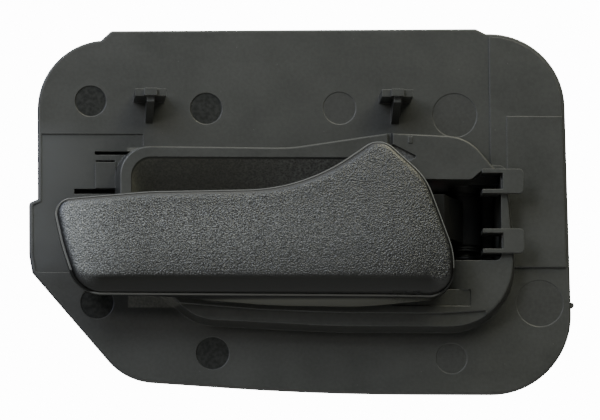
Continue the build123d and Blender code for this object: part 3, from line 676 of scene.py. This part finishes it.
def lever_grain():
    """Black plastic with a fine pebble grain, smooth on its rim and its lower shoulder, with painted glints,
    highlights, light and shade.
    """
    paint = Paint("lever_grain")
    grain = paint.node("ShaderNodeAttribute", attribute_name="grain").outputs["Fac"]
    pebbles = paint.cells(PEBBLE_SIZE, "F1")
    grit = paint.noise(GRIT_SIZE, 1.0)
    height = paint.math("ADD", pebbles, paint.product(grit, GRIT_SHARE))
    paint.relief(height, LEVER_GRAIN_DEPTH, paint.spread(grain, 0.0, 1.0, SMOOTH_GRAIN, 1.0))
    scuffs = paint.product(paint.box(SCUFF_X, SCUFF_Z), paint.above(paint.noise(SCUFF_SIZE), SCUFF_LIMIT))
    paint.relief(scuffs, -SCUFF_DEPTH, 0.8)

    tone = paint.noise(LEVER_TONE_SIZE, 3.0)
    glint = paint.spread(grit, *GLINT_LIMITS)
    colour = paint.blend_colour(tone, LEVER_DARK, LEVER_PALE)
    # painted glints on the grain
    colour = paint.blend_colour(paint.product(glint, grain), colour, PAINTED_GLINT)
    # painted shade across the lever
    for axis, low, high, share_low, share_high, shade in LEVER_PAINTED_SHADE:
        share = paint.ramp(axis, low, high, share_low, share_high)
        colour = paint.blend_colour(share, colour, (shade, shade, shade))
    # painted shade on the smooth lower shoulder
    strip = paint.product(paint.spread(grain, 0.0, STRIP_GRAIN, 1.0, 0.0),
                          paint.ramp("Z", *STRIP_Z, 1.0, 0.0))
    colour = paint.blend_colour(paint.product(strip, STRIP_SHADE_SHARE), colour, STRIP_SHADE_COLOUR)
    # painted highlight on the free end
    tip_highlight = paint.ramp("X", *TIP_X, 1.0, 0.0, True)
    tip_highlight_colour = paint.blend_colour(glint, TIP_HIGHLIGHT_DARK, TIP_HIGHLIGHT_PALE)
    colour = paint.blend_colour(paint.product(tip_highlight, tip_highlight, grain), colour, tip_highlight_colour)
    # painted highlight on the forward-facing flange
    flange = paint.product(paint.spread(paint.outward("Y"), *FLANGE_FACING, 1.0, 0.0),
                           paint.spread(grain, 0.0, FLANGE_GRAIN, 1.0, 0.0))
    off_shoulder = paint.spread(paint.box(SHOULDER_X, SHOULDER_Z, 0.2), 0.0, 1.0, 1.0, 0.0)
    colour = paint.blend_colour(paint.product(flange, off_shoulder), colour, FLANGE_HIGHLIGHT_COLOUR)
    # painted light on the underside
    colour = paint.blend_colour(paint.ramp("Z", *UNDERSIDE_Z, 1.0, 0.0), colour, UNDERSIDE_LIGHT_COLOUR)

    gloss = paint.spread(strip, 0.0, 1.0, *LEVER_GLOSS)
    shine = paint.math("ADD", paint.spread(grain, 0.0, 0.5, *LEVER_ROUGHNESS),
                       paint.spread(tone, *UNEVEN, 0.0, 0.04))
    return paint.finish(colour, shine, gloss=gloss)


def housing_black():
    """Satin black plastic with flow streaks, ejector marks, a grained finger cup, dust specks and painted
    light.
    """
    paint = Paint("housing_black")
    edges = paint.round_edges(PLASTIC_EDGE_R)
    front_side = paint.spread(paint.outward("Y"), *FRONT_FACING, 1.0, 0.0)
    on_plate = paint.product(paint.behind(PLATE_TOP), front_side)
    cup = paint.product(paint.box(CUP_X, CUP_Z), paint.behind(CUP_TOP), front_side)
    grain = paint.cells(CUP_GRAIN_SIZE)
    paint.relief(grain, CUP_GRAIN_DEPTH, paint.product(cup, CUP_GRAIN_SHARE))
    for size, detail, depth, strength in HOUSING_RELIEF:
        paint.relief(paint.noise(size, detail), depth, strength)

    tone = paint.noise(HOUSING_TONE_SIZE, 3.0)
    colour = paint.blend_colour(tone, HOUSING_DARK, HOUSING_PALE)
    # painted light in the finger cup
    cup_lit_colour = paint.blend_colour(paint.ramp("X", *CUP_HIGHLIGHT_X, 0.0, 1.0, True), CUP_LIT_LEFT, CUP_HIGHLIGHT_RIGHT)
    cup_lit_colour = paint.blend_colour(paint.spread(grain, *PIT_LIMITS), CUP_LIT_PIT, cup_lit_colour)
    colour = paint.blend_colour(cup, colour, cup_lit_colour)
    # painted reflection on the plate under the free end
    free_end_reflection = paint.product(paint.ramp("X", *FREE_END_X, 1.0, 0.0, True),
                             paint.box(*FREE_END_BOX, FREE_END_SOFT))
    colour = paint.blend_colour(paint.product(free_end_reflection, FREE_END_REFLECTION_SHARE), colour, FREE_END_REFLECTION_COLOUR)
    for marks, fill, depth in MARK_SETS:
        edge = paint.nearest_mark(marks)
        disc = paint.product(paint.spread(edge, *MARK_EDGE, 1.0, 0.0, True), on_plate)
        paint.relief(disc, -depth, 0.6)
        # painted highlight round each mark's edge
        ring = paint.product(paint.spread(paint.math("ABSOLUTE", edge), 0.0, MARK_RING, 1.0, 0.0), on_plate)
        colour = paint.blend_colour(disc, colour, fill)
        colour = paint.blend_colour(paint.product(ring, MARK_RING_HIGHLIGHT_SHARE), colour, MARK_RING_HIGHLIGHT_COLOUR)
    mottle = paint.spread(paint.noise(MOTTLE_SIZE, 3.0), *MOTTLE_LIMITS)
    specks = paint.math("LESS_THAN", paint.cells(SPECK_SPACING, "F1"), SPECK_SIZE)
    # painted highlight along a line beside the collar
    line_highlight = paint.product(paint.box(*LINE_HIGHLIGHT_BOX), paint.above(paint.noise(LINE_HIGHLIGHT_SIZE, 3.0), 0.5))
    # mottling and dust specks, and painted highlights on the edges and along the line beside the collar
    for pattern, share, paler in ((mottle, MOTTLE_SHARE, MOTTLE_COLOUR), (edges, EDGE_HIGHLIGHT_SHARE, EDGE_HIGHLIGHT_COLOUR),
                                  (specks, SPECK_SHARE, SPECK_COLOUR), (line_highlight, LINE_HIGHLIGHT_SHARE, LINE_HIGHLIGHT_COLOUR)):
        colour = paint.blend_colour(paint.product(pattern, share), colour, paler)

    streaks = paint.noise(STREAK_WIDTH, 3.0, paint.stretched((STREAK_STRETCH, 1.0, 1.0)))
    shine = paint.math("ADD", paint.spread(tone, *UNEVEN, *HOUSING_ROUGHNESS),
                       paint.spread(streaks, *UNEVEN, -0.01, 0.02))
    deep = paint.spread(paint.nearest_mark(DEEP_MARKS), *MARK_EDGE, 1.0, 0.0, True)
    gloss = paint.spread(paint.product(deep, on_plate), 0.0, 1.0, *HOUSING_GLOSS)
    return paint.finish(colour, shine, gloss=gloss)


def plain_plastic(name, dark, light, roughness, grain=0.6, gloss=0.5):
    """A moulded plastic with slightly uneven colour and shine; grain is the size of its texture."""
    paint = Paint(name)
    paint.round_edges(SMALL_EDGE_R)
    paint.relief(paint.noise(grain, 3.0), 0.02, 0.5)
    tone = paint.noise(PLAIN_TONE_SIZE, 3.0)
    colour = paint.blend_colour(tone, dark, light)
    shine = paint.spread(tone, *UNEVEN, roughness - 0.05, roughness + 0.05)
    return paint.finish(colour, shine, gloss=gloss)


def plated_steel(name, dark, light, roughness):
    """Zinc-plated or spring steel with fine drawing lines and dull patches."""
    paint = Paint(name)
    paint.round_edges(STEEL_EDGE_R)
    lines = paint.noise(DRAWN_LINE_WIDTH, 2.0, paint.stretched((1.0, 1.0, DRAWN_LINE_STRETCH)))
    paint.relief(lines, 0.01, 0.6)
    patches = paint.noise(STEEL_PATCH_SIZE, 4.0)
    colour = paint.blend_colour(patches, dark, light)
    shine = paint.spread(patches, *UNEVEN, roughness - 0.08, roughness + 0.12)
    return paint.finish(colour, shine, metallic=1.0)


def buffer_rubber():
    """Soft black rubber with a dusty bloom."""
    paint = Paint("buffer_rubber")
    paint.relief(paint.noise(RUBBER_TEXTURE_SIZE, 3.0), 0.03, 0.6)
    bloom = paint.noise(BLOOM_SIZE, 3.0)
    colour = paint.blend_colour(bloom, RUBBER_BLACK, RUBBER_BLOOM)
    return paint.finish(colour, paint.spread(bloom, *UNEVEN, 0.7, 0.88))


def seal_foam():
    """Dark grey foam with open cells."""
    paint = Paint("seal_foam")
    bubbles = paint.cells(FOAM_CELL_SIZE)
    paint.relief(bubbles, 0.3, 0.9)
    tone = paint.noise(FOAM_TONE_SIZE, 3.0)
    colour = paint.blend_colour(paint.spread(bubbles, *PIT_LIMITS), FOAM_PIT, FOAM_SKIN)
    colour = paint.blend_colour(paint.product(tone, 0.4), colour, FOAM_DUST)
    return paint.finish(colour, 0.95)


def paint_frame():
    """Finishes for the pieces that are shown as built, found by how their names start."""
    black = housing_black()
    cover = plain_plastic("cover_black", (0.028, 0.029, 0.025), (0.038, 0.039, 0.034), 0.6, 0.5)
    # black nylon, made darker than the other black plastics as painted shade for the deep hinge well
    core = plain_plastic("core_black_painted_shade", (0.004, 0.004, 0.004), (0.007, 0.007, 0.007), 0.7, gloss=0.2)
    dark_acetal = plain_plastic("dark_acetal", (0.010, 0.010, 0.010), (0.016, 0.016, 0.016), 0.5, 0.4, 0.3)
    red_acetal = plain_plastic("red_acetal", (0.50, 0.075, 0.045), (0.60, 0.10, 0.06), 0.42, 0.4)
    zinc = plated_steel("zinc_steel", (0.42, 0.43, 0.44), (0.60, 0.60, 0.59), 0.34)
    spring = plated_steel("spring_steel", (0.16, 0.17, 0.18), (0.28, 0.28, 0.29), 0.38)
    oiled = plated_steel("oiled_steel", (0.02, 0.02, 0.021), (0.045, 0.045, 0.046), 0.5)
    rubber = buffer_rubber()
    finishes = {"housing": black, "lever_back_cover": cover, "lever_core": core, "foam_seal": seal_foam(),
                "hub_bush": dark_acetal, "thrust_washer": dark_acetal, "rod_clip": red_acetal,
                "hinge_pin": zinc, "lever_screw": zinc, "pin_retainer": spring, "panel_clip": spring,
                "return_spring": oiled, "rest_buffer": rubber, "open_stop_buffer": rubber}
    for name, node in nodes.items():
        node.data.materials.clear()
        starts = [start for start in finishes if name.startswith(start)]
        node.data.materials.append(finishes[starts[0]] if starts else black)


make_camera()
make_studio()
paint_frame()

face = build_lever_face()
face.data.materials.append(lever_grain())
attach(face, "lever")
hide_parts("lever_face")
